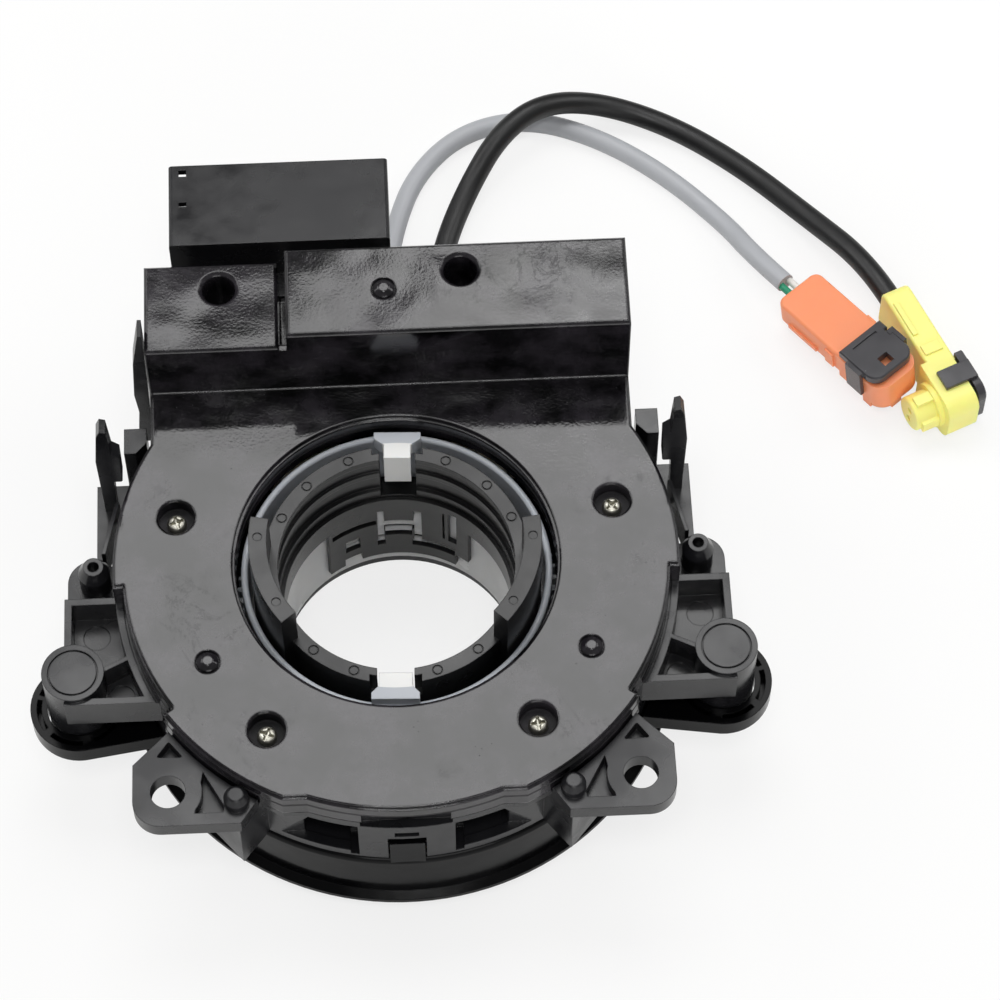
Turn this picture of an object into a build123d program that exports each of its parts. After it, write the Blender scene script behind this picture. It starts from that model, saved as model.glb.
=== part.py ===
from build123d import *
import math
import os

# Steering clock spring with a built-in steering angle sensor, for a passenger car.
# Lengths are in millimetres and angles in degrees. Z is the steering axis, and the part lies
# with its wheel side on z = 0. X runs from wing to wing, and Y points to the side of the sockets.

# Layers along the steering axis, from the wheel side up
LIP_LIFT = 7.0
CASE_HEIGHT = 17.0
HOUSING_HEIGHT = 17.0
SKIRT_DEPTH = 7.0
SPLIT_Z = LIP_LIFT + CASE_HEIGHT
SKIRT_Z = SPLIT_Z + HOUSING_HEIGHT
COVER_Z = SKIRT_Z + SKIRT_DEPTH

# Walls and the room between pieces
WALL = 2.0
FLOOR = 2.0
COVER_PLATE = 2.2
THIN = 1.4
GAP = 0.3
SLIP = 0.12

# Middle of the part, from the bore outwards: sleeve, hub, toothed ring and the bore of the cover
SLEEVE_BORE_R = 23.9
SLEEVE_R = SLEEVE_BORE_R + 3.1
HUB_R = SLEEVE_R + 3.8
RING_IN_R = SLEEVE_R + 3.0
RING_WALL = 1.0
RING_R = RING_IN_R + RING_WALL + 0.4
RING_TEETH = 80
MODULE = (RING_IN_R + RING_WALL) / (RING_TEETH / 2 - 1.25)
BORE_R = RING_R + 1.6
BORE_STEP = 0.6

# Cover. Its radius drives the round body, and the blocks are set by how far they reach past it
COVER_R = 57.0
RIM_STEP = 0.45
RIM_DROP = 0.9
RELIEF = 2.0
FRONT_FLAT = 0.88 * COVER_R
FRONT_DEPTH = 0.092 * COVER_R
BLOCK_INSET = 7.8
BLOCK_REACH = 4.2
BLOCK_DEPTH = 20.7
BLOCK_HALF = COVER_R - BLOCK_INSET
BLOCK_REAR = COVER_R + BLOCK_REACH
BLOCK_FRONT = BLOCK_REAR - BLOCK_DEPTH
LOW_BLOCK_RISE = 16.0
HIGH_BLOCK_RISE = 20.5
GROOVE_X = -21.2
GROOVE_WIDTH = 1.7
LOW_HOLE = (15.2 - BLOCK_HALF, BLOCK_REAR - 6.0)
HIGH_HOLE = (15.3, BLOCK_REAR - 6.4)
BLOCK_HOLE_R = 3.4
BLOCK_HOLE_DEPTH = 12.0
DOME_R = 2.15
DOME_RISE = 0.8
DOME_MOAT = 0.35
DOME_INSET = 13.3
DOME_ANGLE = -29.5
BLOCK_DOME_X = -0.4
BLOCK_DOME_INSET = 10.3
WELL_R = 3.7
WELL_DEPTH = 3.5
SKIRT_WINDOW = 8.8
SCREW_INSET = 11.5
SCREW_ANGLES = (165.6, 14.4, -125.9, -54.1)
SCREW_TURNS = (18.0, 40.0, 65.0, 8.0)
SCREW_R = 1.0
SCREW_HEAD_R = 2.0
SCREW_HEAD_HEIGHT = 1.5
SCREW_LENGTH = 10.0

# Stator housing, its ears and wings. Each is placed by how far it lies from the cover's edge
HOUSING_STEP = 2.1
HOUSING_R = COVER_R - HOUSING_STEP
EAR_Z = COVER_Z - 5.0
EAR_THICKNESS = 4.0
EAR_HOLE = (COVER_R - 10.6, 9.9 - COVER_R)
EAR_HOLE_R = 3.45
POST = (EAR_HOLE[0] - 13.4, EAR_HOLE[1] - 2.6)
POST_R = 2.45
WING_REACH = 10.1
WING_FRONT = -2.7
WING_REAR = -26.5
WING_DEPTH = 8.5
WING_BOSS = (COVER_R + 8.3, -19.7)
WING_BOSS_R = 6.25
WING_WALL = 1.45
SPIGOT = (COVER_R + 4.2, 3.4)
SPIGOT_R = 3.2
SPIGOT_TIP_R = 2.05
SPIGOT_BORE_R = 1.15
FLANGE_DROP = 13.0
FLANGE_Z = COVER_Z - FLANGE_DROP
HOOK_Y = 22.0
HOOK_WIDTH = 3.2
HOOK_TOP = COVER_Z + 19.6

# Socket shroud behind the blocks
SHROUD_LEFT = 5.0 - BLOCK_HALF
SHROUD_RIGHT = 1.3
SHROUD_GAP = 6.0
SHROUD_DEPTH = 19.6
SHROUD_FRONT = BLOCK_REAR + SHROUD_GAP
SHROUD_REAR = SHROUD_FRONT + SHROUD_DEPTH
SHROUD_TOP = COVER_Z + 14.0
SHROUD_HEIGHT = 17.0
SHROUD_DIVIDER = -18.0
SHROUD_WALL = 1.6
SOCKET_BACK = 3.0
PIN_SIDE = 0.64
PIN_REACH = 9.0
PIN_PITCH = 3.0

# Lower case: the ring that closes the spring chamber, with two lugs and three snaps
CASE_STEP = 0.6
CASE_WALL = 2.3
CASE_LIP = 1.8
CASE_R = HOUSING_R + CASE_STEP
CASE_IN_R = CASE_R - CASE_WALL
CASE_LEDGE = 2.8
LUG_R = 10.0
SNAP_WIDTH = 7.0
SNAP_HEIGHT = 7.6
SIDE_SNAPS = (10.0, 170.0)

# Rotor
DISC_R = CASE_IN_R - 2 * GAP
DISC_Z = 5.8
DISC_THICKNESS = 2.6
HUB_LIP = 2.8
KEY_ANGLE = -2.2
FINGER_RISE = 9.0
FINGER_IN_R = SLEEVE_BORE_R + 1.7
FINGER_R = FINGER_IN_R + 3.6
FINGER_START = -40.5
FINGER_END = 9.5
REAR_KEY_WIDTH = 5.5
FRONT_KEY_WIDTH = 6.7
KEY_BAR_WIDTH = 9.6
KEY_SLOT = 7.4
KEY_BAR_SLOT = 10.4
INSERT_TOP = SPLIT_Z + 5.8

# Gear train of the angle sensor
GEAR_A_TEETH = 20
GEAR_B_TEETH = 22
GEAR_A_ANGLE = 60.0
GEAR_B_ANGLE = 120.0
GEAR_WIDTH = 4.0
MESH_ROOM = 0.15
AXLE_R = 1.5
AXLE_ROOM = 0.06
MAGNET_R = 2.5
MAGNET_HEIGHT = 1.9
GEAR_Z = SPLIT_Z + FLOOR + 2.4

# Sensor board and its parts
BOARD_Z = SKIRT_Z - 4.0
BOARD_THICKNESS = 1.6
BOARD_FRONT = 17.0
BOARD_ROOM = 1.0
PEG_R = 1.0
PEG_FOOT_R = 2.2
PEG_INSET = 9.2
PEG_X = BLOCK_HALF - PEG_INSET
PEG_Y = 30.0
PEG_REAR_X = 30.0
PEG_REAR_Y = BLOCK_REAR - PEG_INSET
HALL_SIZE = (5.0, 4.4, 1.1)
CHIP_SIDE = 9.0
CHIP_HEIGHT = 1.5
CHIP_Y = BLOCK_REAR - 13.2
SMALL_PART = (3.2, 2.0, 1.3)
SMALL_PART_PITCH = 6.0
CAPACITOR_R = 2.5
CAPACITOR_HEIGHT = 5.0
SHROUD_FOOT = SHROUD_TOP - SHROUD_HEIGHT

# Leads and plugs of the airbag circuits
GREY_DIAMETER = 4.4
BLACK_DIAMETER = 5.0
GREY_LIFT = 2.3
BLACK_LIFT = 2.6
OUTLET_WALL_Y = 40.0
OUTLET_END_Y = 50.5
GREY_X = 0.0
BLACK_X = 10.0
WIRE_R = 0.8
WIRE_SHOW = 4.0
PLUG_LENGTH = 21.0
PLUG_HEAD = 12.6
PLUG_WIDTH = 11.8
PLUG_THICKNESS = 6.4
PLUG_COLLAR = 1.3
SNOUT_SPOT = PLUG_LENGTH + 6.0
SNOUT_R = 3.9
SNOUT_LENGTH = 7.4
LOCK_THICKNESS = 2.0
LOCK_ARM = 1.0
PRONG = 1.4
ORANGE_PLACE = Pos(90.7, 82.9, 4.7) * Rot(Z=-53.2) * Rot(Y=-7) * Rot(X=4)
YELLOW_PLACE = Pos(108.0, 79.4, PLUG_WIDTH / 2 + LOCK_ARM + 0.4) * Rot(Z=-66.5) * Rot(X=-90)


STANDING = (Align.CENTER, Align.CENTER, Align.MIN)


def polar(radius, angle):
    turn = math.radians(angle)
    return Vector(radius * math.cos(turn), radius * math.sin(turn))


def polygon(*points):
    return make_face(Polyline(*points, close=True))


def sector(r_in, r_out, start, end):
    middle = (start + end) / 2
    outer = ThreePointArc(polar(r_out, start), polar(r_out, middle), polar(r_out, end))
    inner = ThreePointArc(polar(r_in, end), polar(r_in, middle), polar(r_in, start))
    return make_face([outer, Line(outer @ 1, inner @ 0), inner, Line(inner @ 1, outer @ 0)])


def lift(face, low, high):
    return Pos(0, 0, low) * extrude(face, high - low)


def block(x0, x1, y0, y1, z0, z1):
    return Pos((x0 + x1) / 2, (y0 + y1) / 2, (z0 + z1) / 2) * Box(x1 - x0, y1 - y0, z1 - z0)


def rod(spot, radius, z0, z1):
    return Pos(spot[0], spot[1], z0) * Cylinder(radius, z1 - z0, align=STANDING)


def ring(r_in, r_out, z0, z1):
    return lift(Circle(r_out) - Circle(r_in), z0, z1)


def frustum(spot, r_low, r_high, z0, z1):
    return Pos(spot[0], spot[1], z0) * Cone(r_low, r_high, z1 - z0, align=STANDING)


def both_sides(shape):
    return shape + mirror(shape, Plane.YZ)


def turned(shape, angle):
    return Rot(Z=angle) * shape


# Shared outline: a disc that runs into the box of the two blocks, stepped in beside the wings
def outline(radius, half, rear):
    return Circle(radius) + Pos(0, rear / 2) * Rectangle(2 * half, rear)


def cover_outline():
    face = outline(COVER_R, BLOCK_HALF, BLOCK_REAR)
    beside_wing = sector(COVER_R - RELIEF, COVER_R + RELIEF, -34.5, -4.0)
    front = Pos(0, -COVER_R) * Rectangle(FRONT_FLAT, 2 * FRONT_DEPTH) - Circle(COVER_R - 0.9 * RELIEF)
    return face - beside_wing - mirror(beside_wing, Plane.YZ) - front


def housing_outline():
    return outline(HOUSING_R, BLOCK_HALF - WALL, BLOCK_REAR - WALL)


def screw_spots():
    spots = [polar(COVER_R - SCREW_INSET, angle) for angle in SCREW_ANGLES]
    return [(spot.X, spot.Y) for spot in spots]


def sensor_cover():
    face = cover_outline()
    room = offset(face, amount=-WALL)
    plate_z = COVER_Z - COVER_PLATE
    shell = lift(face, SKIRT_Z, COVER_Z - RIM_DROP) - lift(room, SKIRT_Z, plate_z)
    shell += lift(offset(face, amount=-RIM_STEP), COVER_Z - 2 * RIM_DROP, COVER_Z)
    groove_left = GROOVE_X - GROOVE_WIDTH / 2
    groove_right = GROOVE_X + GROOVE_WIDTH / 2
    low_top = COVER_Z + LOW_BLOCK_RISE
    high_top = COVER_Z + HIGH_BLOCK_RISE
    web_top = COVER_Z + WALL
    low = block(-BLOCK_HALF, groove_left, BLOCK_FRONT, BLOCK_REAR, COVER_Z - 1, low_top)
    high = block(groove_right, BLOCK_HALF, BLOCK_FRONT, BLOCK_REAR, COVER_Z - 1, high_top)
    low = chamfer(low.edges().group_by(Axis.Z)[-1], 0.6)
    high = chamfer(high.edges().group_by(Axis.Z)[-1], 0.6)
    # the groove between them is deep, and a thin wall closes its front
    web = block(groove_left, groove_right, BLOCK_FRONT, BLOCK_REAR, COVER_Z - 1, web_top)
    web += block(groove_left - 1, groove_right + 1, BLOCK_FRONT, BLOCK_FRONT + THIN, COVER_Z - 1, low_top - 1)
    shell += low + high + web
    front = BLOCK_FRONT + WALL
    rear = BLOCK_REAR - WALL
    shell -= block(-BLOCK_HALF + WALL, groove_left - WALL, front, rear, SKIRT_Z, low_top - WALL)
    shell -= block(groove_right + WALL, BLOCK_HALF - WALL, front, rear, SKIRT_Z, high_top - WALL)
    # Stepped bore with a collar that hangs towards the sensor ring
    shell -= rod((0, 0), BORE_R, SKIRT_Z, COVER_Z)
    shell += ring(BORE_R - BORE_STEP, BORE_R + THIN - BORE_STEP, plate_z - 2 * WALL, COVER_Z - RIM_DROP)
    # Blind holes in the blocks, with a countersunk mouth
    for spot, top in ((LOW_HOLE, low_top), (HIGH_HOLE, high_top)):
        shell += rod(spot, BLOCK_HOLE_R + THIN, top - BLOCK_HOLE_DEPTH - 1.0, top - WALL)
        shell -= rod(spot, BLOCK_HOLE_R, top - BLOCK_HOLE_DEPTH, top)
        shell -= frustum(spot, BLOCK_HOLE_R, BLOCK_HOLE_R + 0.7, top - 0.7, top)
    # Cups for the four screws
    cup_floor = COVER_Z - WELL_DEPTH
    for spot in screw_spots():
        shell += rod(spot, WELL_R + THIN, cup_floor - 1.6, COVER_Z - 0.5)
        shell -= rod(spot, WELL_R, cup_floor, COVER_Z)
        shell -= frustum(spot, WELL_R, WELL_R + 0.3, COVER_Z - 0.3, COVER_Z)
        shell -= rod(spot, SCREW_R + 0.2, cup_floor - 1.6, cup_floor)
    # Low domes that stand in narrow moats
    left = polar(COVER_R - DOME_INSET, 180 - DOME_ANGLE)
    right = polar(COVER_R - DOME_INSET, DOME_ANGLE)
    on_block = (BLOCK_DOME_X, BLOCK_REAR - BLOCK_DOME_INSET, high_top)
    for x, y, top in ((left.X, left.Y, COVER_Z), (right.X, right.Y, COVER_Z), on_block):
        moat = ring(DOME_R, DOME_R + DOME_MOAT, top - DOME_RISE, top)
        shell -= Pos(x, y) * moat
        dome = frustum((x, y), DOME_R, DOME_R / 2, top, top + DOME_RISE)
        shell += fillet(dome.edges().group_by(Axis.Z)[-1], DOME_RISE / 2)
    # Window in the skirt above the snap of the lower case
    window_top = COVER_Z - 4 * RIM_DROP
    shell -= block(-SKIRT_WINDOW, SKIRT_WINDOW, -COVER_R, 3 * WALL - COVER_R, SKIRT_Z, window_top)
    return shell


def cover_screws():
    seat = COVER_Z - WELL_DEPTH
    top = seat + SCREW_HEAD_HEIGHT
    head = rod((0, 0), SCREW_HEAD_R, seat, top)
    head = fillet(head.edges().group_by(Axis.Z)[-1], 0.7 * SCREW_HEAD_HEIGHT)
    # tapered cross recess with wings as wide as a third of the head
    cross = Rectangle(1.5 * SCREW_HEAD_R, SCREW_HEAD_R / 3) + Rectangle(SCREW_HEAD_R / 3, 1.5 * SCREW_HEAD_R)
    head -= Pos(0, 0, top) * extrude(cross, -0.7 * SCREW_HEAD_HEIGHT, taper=9)
    head -= frustum((0, 0), 0.2, 0.4 * SCREW_HEAD_R, top - 0.7 * SCREW_HEAD_HEIGHT, top)
    screw = head + rod((0, 0), SCREW_R, seat - SCREW_LENGTH, seat)
    return [Pos(x, y) * turned(screw, turn) for (x, y), turn in zip(screw_spots(), SCREW_TURNS)]


# One wing on the right: a walled pocket, a capped boss and a flange that carries the spigot
def wing():
    low = SKIRT_Z - WING_DEPTH
    pocket_floor = low + WALL
    reach = COVER_R + WING_REACH
    frame = polygon((0, WING_FRONT), (reach, WING_FRONT), (reach, WING_REAR), (0, WING_REAR))
    beside = frame & (Circle(COVER_R - RELIEF + 0.5) - Circle(HOUSING_R))
    frame -= Circle(HOUSING_R - 1)
    body = lift(frame, low, SKIRT_Z)
    inner_r = COVER_R - RELIEF + 0.5 + WING_WALL
    body -= lift(offset(frame, amount=-WING_WALL) - Circle(inner_r), pocket_floor, SKIRT_Z)
    # the slot between the cover's edge and the frame
    body -= lift(beside, low + 4 * WALL, SKIRT_Z)
    rib = polygon((reach - 13.5, -15.5), (reach - 12.9, -16.8), (reach - 6.1, -20.2), (reach - 6.7, -18.8))
    body += lift(rib, pocket_floor, SKIRT_Z)
    # round ejector marks in the pocket floor
    for spot in ((reach - 6.0, -8.4), (reach - 11.0, -22.0)):
        body -= rod(spot, 2.7, pocket_floor - 0.3, pocket_floor)
    body += rod(WING_BOSS, WING_BOSS_R, SPLIT_Z - WALL + 0.5, SKIRT_Z + 1.0)
    rim = rod(WING_BOSS, WING_BOSS_R - 1.2, SKIRT_Z + 0.5, SKIRT_Z + 1.0)
    body -= rim - rod(WING_BOSS, WING_BOSS_R - 1.5, SKIRT_Z, SKIRT_Z + 1.0)
    # flange, open beside the housing, with a rib along the opening
    step = COVER_R - 2.4
    corner = COVER_R + 10.0
    flange = polygon((0, -3.5), (corner, -3.5), (corner, 9.1), (corner - 5.9, 9.1), (corner - 5.9, 26.3),
                     (step, 26.3), (step, 34.2), (0, 34.2))
    rounded = flange.vertices().sort_by_distance(Vector(corner, 9.1))[0]
    flange = fillet(rounded, 5.2) - offset(housing_outline(), amount=-1)
    gap = polygon((step, 17.8), (COVER_R - 0.8, 17.8), (COVER_R + 1.6, 7.6), (step, 7.6))
    flange -= gap - Circle(HOUSING_R + GAP)
    body += lift(flange, FLANGE_Z - FLOOR, FLANGE_Z)
    brace = polygon((COVER_R - 1.0, 18.6), (COVER_R - 0.2, 18.6), (COVER_R + 2.6, 6.8), (COVER_R + 1.8, 6.8))
    body += lift(brace, FLANGE_Z - 1, SKIRT_Z + 1.0)
    body += rod(SPIGOT, SPIGOT_R, FLANGE_Z, COVER_Z - 7.5)
    body += frustum(SPIGOT, SPIGOT_R, SPIGOT_TIP_R, COVER_Z - 7.5, COVER_Z - 5.0)
    return body - rod(SPIGOT, SPIGOT_BORE_R, FLANGE_Z - FLOOR, COVER_Z)


# Snap hook on the right, in profile, with its barb towards the steering axis
def hook():
    inner = COVER_R - 2.3
    outer = COVER_R + 2.6
    face = polygon((outer - 0.3, FLANGE_Z - 1), (outer, COVER_Z + 7.8), (outer - 0.9, HOOK_TOP - 2),
                   (outer - 1.7, HOOK_TOP), (outer - 2.9, HOOK_TOP - 0.5), (inner + 1.5, COVER_Z + 10.6),
                   (inner, COVER_Z + 9), (inner + 0.1, COVER_Z - 0.2), (inner + 0.4, COVER_Z - 0.6),
                   (inner + 1.9, COVER_Z - 0.6), (inner + 2.2, FLANGE_Z - 1))
    return Pos(0, HOOK_Y + HOOK_WIDTH / 2, 0) * extrude(Plane.XZ * face, HOOK_WIDTH)


def ear():
    x, y = EAR_HOLE
    top_left = (x - 0.5, y + 13.3)
    corner = (x + 7.0, y - 7.3)
    face = polygon(top_left, (x + 6.9, y + 6.0), corner, (x - 14.2, y - 7.3), (x - 18.0, y - 1.7), (0, 0))
    rounded = face.vertices().sort_by_distance(Vector(*corner))[0]
    face = fillet(rounded, 5.5)
    beside_cover = face - Circle(COVER_R + 0.4)
    beside_housing = face - Circle(HOUSING_R - 1)
    low = EAR_Z - EAR_THICKNESS
    body = lift(beside_cover, low, EAR_Z) + lift(beside_housing, low, SKIRT_Z - GAP)
    leg = polygon((x - 13.8, y - 7.1), (x - 7.5, y + 0.3), (0, 0), (x - 18.5, y - 1.3))
    body += lift(leg - Circle(HOUSING_R - 1), SPLIT_Z, SKIRT_Z - GAP)
    body += lift(leg - Circle(COVER_R + 0.4), SKIRT_Z - 1, EAR_Z)
    # relief pockets
    pocket_z = EAR_Z - 0.7 * EAR_THICKNESS
    notch = polygon((x - 0.2, y + 10.9), (x - 3.1, y + 7.3), (x + 2.3, y + 7.5))
    notch = fillet(notch.vertices(), 0.3)
    body -= lift(notch, pocket_z, EAR_Z)
    field = polygon((x - 6.9, y + 4.0), (x - 11.1, y - 3.6), (x - 10.8, y - 4.8), (x - 5.2, y - 4.8))
    body -= lift(field - Pos(*EAR_HOLE) * Circle(6.7), pocket_z, EAR_Z)
    body -= rod(EAR_HOLE, EAR_HOLE_R, low, EAR_Z)
    body += rod(POST, POST_R, EAR_Z - 1, EAR_Z + 1.9)
    post_tip = frustum(POST, POST_R, POST_R - 0.9, EAR_Z + 1.9, EAR_Z + 3.4)
    return body + fillet(post_tip.edges().group_by(Axis.Z)[-1], 0.5)


def gear_spot(teeth, angle):
    return polar(MODULE * (RING_TEETH + teeth) / 2 + MESH_ROOM, angle)


def shroud():
    body = block(SHROUD_LEFT, SHROUD_RIGHT, SHROUD_FRONT, SHROUD_REAR, SHROUD_FOOT, SHROUD_TOP)
    body = fillet(body.edges().filter_by(Axis.Y), 0.8)
    back = SHROUD_FRONT + SOCKET_BACK
    low = SHROUD_FOOT + SHROUD_WALL
    high = SHROUD_TOP - SHROUD_WALL
    half = SHROUD_WALL / 2
    body -= block(SHROUD_LEFT + SHROUD_WALL, SHROUD_DIVIDER - half, back, SHROUD_REAR, low, high)
    body -= block(SHROUD_DIVIDER + half, SHROUD_RIGHT - SHROUD_WALL, back, SHROUD_REAR, low, high)
    # Windows where the plugs' catches show
    for y in (SHROUD_REAR - 9.8, SHROUD_REAR - 1.9):
        body -= block(SHROUD_LEFT + 2.1, SHROUD_LEFT + 3.7, y - 0.8, y + 0.8, high, SHROUD_TOP)
    # keyways in the socket floors
    for x in (-36.0, -25.0, -8.5):
        body += block(x - 0.6, x + 0.6, back, SHROUD_REAR - 2.0, low, low + 1.2)
    # neck that ties the shroud to the housing
    neck_z = SPLIT_Z + 6.0
    left = SHROUD_LEFT + 3.0
    right = SHROUD_RIGHT - 3.0
    neck = block(left, right, BLOCK_REAR - 1.5 * WALL, SHROUD_FRONT, neck_z, SKIRT_Z)
    neck += block(left, right, BLOCK_REAR + GAP, SHROUD_FRONT + 1, neck_z, SHROUD_FOOT + 5.0)
    front = SHROUD_FRONT - 1
    gusset = polygon((front, neck_z), (front, SHROUD_FOOT + 1), (SHROUD_REAR - 4, SHROUD_FOOT + 1))
    for x in (-38.0, -21.5, -5.0):
        body += Pos(x, 0, 0) * extrude(Plane.YZ * gusset, THIN / 2, both=True)
    return body + neck


def peg_spots():
    return ((-PEG_X, PEG_Y), (PEG_X, PEG_Y), (-PEG_REAR_X, PEG_REAR_Y), (PEG_REAR_X, PEG_REAR_Y))


def snap_face(width, depth):
    return Pos(0, WALL + 0.5 - HOUSING_R - depth / 2) * Rectangle(width, depth)


def stator_housing():
    face = housing_outline()
    room = offset(face, amount=-WALL)
    shell = lift(face, SPLIT_Z, SKIRT_Z) - lift(room, SPLIT_Z + FLOOR, SKIRT_Z)
    # rim that the cover stands on
    shell += lift(cover_outline() - room, SKIRT_Z - 1.6, SKIRT_Z)
    shell -= rod((0, 0), HUB_R + GAP, SPLIT_Z, SKIRT_Z)
    # front windows with slanted outer ends, and the notches for the snaps of the lower case
    window_top = SKIRT_Z - 3.0
    window_foot = SPLIT_Z + 2.2
    window = polygon((9.6, window_top), (19.3, window_top), (25.2, window_foot), (11.3, window_foot),
                     (11.3, SPLIT_Z + 0.8), (9.6, SPLIT_Z + 0.8))
    slot = Pos(0, 3 * WALL - HOUSING_R, 0) * extrude(Plane.XZ * window, 6 * WALL)
    shell -= both_sides(slot)
    half = SKIRT_WINDOW + GAP
    shell -= block(-half, half, -COVER_R, WALL - HOUSING_R, SKIRT_Z - 2.5, SKIRT_Z)
    shell -= lift(snap_face(SNAP_WIDTH + 2 * GAP, WALL + 2.0), SPLIT_Z, SPLIT_Z + SNAP_HEIGHT + 1.6)
    slot_z = SPLIT_Z + SNAP_HEIGHT + 2.6
    shell -= block(-2.4, 2.4, -HOUSING_R, WALL - HOUSING_R, slot_z, slot_z + 1.8)
    for angle in SIDE_SNAPS:
        notch = turned(snap_face(SNAP_WIDTH + 2 * GAP, WALL + 2.0), angle + 90)
        shell -= lift(notch, SPLIT_Z, SPLIT_Z + SNAP_HEIGHT + GAP)
    shell += both_sides(wing() + hook() + ear())
    # stop pillars beside the cover, chamfered along its edge
    inner = BLOCK_HALF + 1.0
    outer = COVER_R - 2.2
    pillar = polygon((inner, 30.6), (inner + 2.2, 28.2), (outer, 28.2), (outer, 34.0), (inner, 34.0))
    shell += both_sides(lift(pillar, FLANGE_Z - FLOOR, COVER_Z - 3.0))
    # spring arm that clips over the cover's left side
    side = -BLOCK_HALF
    foot = SKIRT_Z - 8.0
    tip = COVER_Z + 20.0
    arm = polygon((side + 2.2, foot - 7.0), (side - 4.0, foot - 7.0), (side - 3.0, foot + 5.0),
                  (side - 3.5, COVER_Z - 3.0), (side - 2.8, tip - 11.0), (side - 1.1, tip), (side - GAP, tip),
                  (side - GAP, tip - 11.0), (side - 0.5, COVER_Z - 3.0), (side - 0.8, foot), (side + 2.2, foot))
    shell += Pos(0, BLOCK_REAR - 15.2, 0) * extrude(Plane.XZ * arm, 4.0)
    # screw posts, gear axles and board pegs
    for spot in screw_spots():
        shell += rod(spot, 3.3, SPLIT_Z, COVER_Z - WELL_DEPTH - 1.6)
        shell -= rod(spot, SCREW_R + 0.05, SPLIT_Z + 4.0, COVER_Z)
    for teeth, angle in ((GEAR_A_TEETH, GEAR_A_ANGLE), (GEAR_B_TEETH, GEAR_B_ANGLE)):
        spot = gear_spot(teeth, angle)
        shell += rod((spot.X, spot.Y), 2 * AXLE_R, SPLIT_Z, GEAR_Z - GAP)
        shell += rod((spot.X, spot.Y), AXLE_R, SPLIT_Z, GEAR_Z + GEAR_WIDTH - GAP)
    for spot in peg_spots():
        shell += rod(spot, PEG_FOOT_R, SPLIT_Z, BOARD_Z)
        shell += rod(spot, PEG_R, BOARD_Z, BOARD_Z + BOARD_THICKNESS + 0.8)
    return shell + shroud()


def lower_case():
    lip_r = CASE_R + CASE_LIP
    lip_top = LIP_LIFT + 1.2
    bend = min(1.6, 0.7 * CASE_WALL)
    shoulder_z = SPLIT_Z - bend - 0.6
    with BuildSketch(Plane.XZ) as profile:
        with BuildLine():
            Polyline((CASE_IN_R, LIP_LIFT), (lip_r, LIP_LIFT), (lip_r, lip_top), (CASE_R, lip_top + 0.8),
                     (CASE_R, shoulder_z))
            ThreePointArc((CASE_R, shoulder_z), (CASE_R - bend / 3, SPLIT_Z - 0.6), (CASE_R - bend, SPLIT_Z))
            Polyline((CASE_R - bend, SPLIT_Z), (CASE_IN_R, SPLIT_Z), (CASE_IN_R, LIP_LIFT))
        make_face()
    case = revolve(profile.sketch, Axis.Z, 360)
    # inner ledge above the rotor disc
    ledge_z = DISC_Z + DISC_THICKNESS + GAP
    case += ring(CASE_IN_R - CASE_LEDGE, CASE_IN_R + 0.5, ledge_z, ledge_z + THIN)
    # lugs that take the feet of the wing bosses
    x, y = WING_BOSS
    plan = polygon((0, -20.0), (x - 1.3, y - 9.9), (x + 9.9, y + 1.2), (x + 3.7, y + 9.4), (0, -2.0))
    plan = plan + Pos(*WING_BOSS) * Circle(LUG_R)
    lug = lift(plan - Circle(CASE_R - CASE_WALL / 2), SPLIT_Z - 2.0, SPLIT_Z - GAP)
    lug += lift(plan - Circle(HOUSING_R + 2 * GAP), SPLIT_Z - 2.0, SPLIT_Z + 2.5)
    lug -= rod(WING_BOSS, WING_BOSS_R + GAP, SPLIT_Z - 3.0, SPLIT_Z + 3.0)
    for start in (-160.0, -95.0, -35.0, 20.0):
        slot = Pos(*WING_BOSS) * sector(LUG_R - 2.3, LUG_R - 1.3, start, start + 48.0)
        lug -= lift(slot, SPLIT_Z - 1.0, SPLIT_Z + 3.0)
    case += both_sides(lug)
    # snaps that spring into the housing
    tongue = Pos(0, 1.0 - CASE_R) * Rectangle(SNAP_WIDTH, 1.6)
    for angle in (-90.0,) + SIDE_SNAPS:
        case += turned(lift(tongue, SPLIT_Z - 2.0 * WALL, SPLIT_Z + SNAP_HEIGHT), angle + 90)
    return case


# Flat cable of the spring: half turns with two centres in turn, joined smoothly
def flat_cable():
    low = DISC_Z + DISC_THICKNESS + GAP + THIN + GAP
    pitch = 2.6
    radius = CASE_IN_R - 2 * GAP
    tape = 0.36
    turns = []
    side = 1
    centre = 0.0
    while radius > HUB_R + 2 * pitch:
        half = Circle(radius + tape / 2) - Circle(radius - tape / 2)
        half &= Pos(0, side * 2 * radius) * Rectangle(8 * radius, 4 * radius)
        turns.append(Pos(centre, 0) * half)
        radius -= pitch / 2
        centre += side * pitch / 2
        side = -side
    tape_face = turns[0]
    for half in turns[1:]:
        tape_face += half
    return lift(tape_face, low, SPLIT_Z - 2 * GAP)


def sensor_board():
    plan = offset(housing_outline(), amount=-WALL - BOARD_ROOM)
    plan &= Pos(0, BOARD_FRONT + COVER_R) * Rectangle(2 * COVER_R, 2 * COVER_R)
    plan -= Circle(RING_R + 4.0)
    for spot in peg_spots():
        plan -= Pos(*spot) * Circle(PEG_R + SLIP)
    return lift(plan, BOARD_Z, BOARD_Z + BOARD_THICKNESS)


def hall_sensors():
    chip = Box(*HALL_SIZE, align=(Align.CENTER, Align.CENTER, Align.MAX))
    spots = [gear_spot(GEAR_A_TEETH, GEAR_A_ANGLE), gear_spot(GEAR_B_TEETH, GEAR_B_ANGLE)]
    return [Pos(spot.X, spot.Y, BOARD_Z) * chip for spot in spots]


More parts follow.
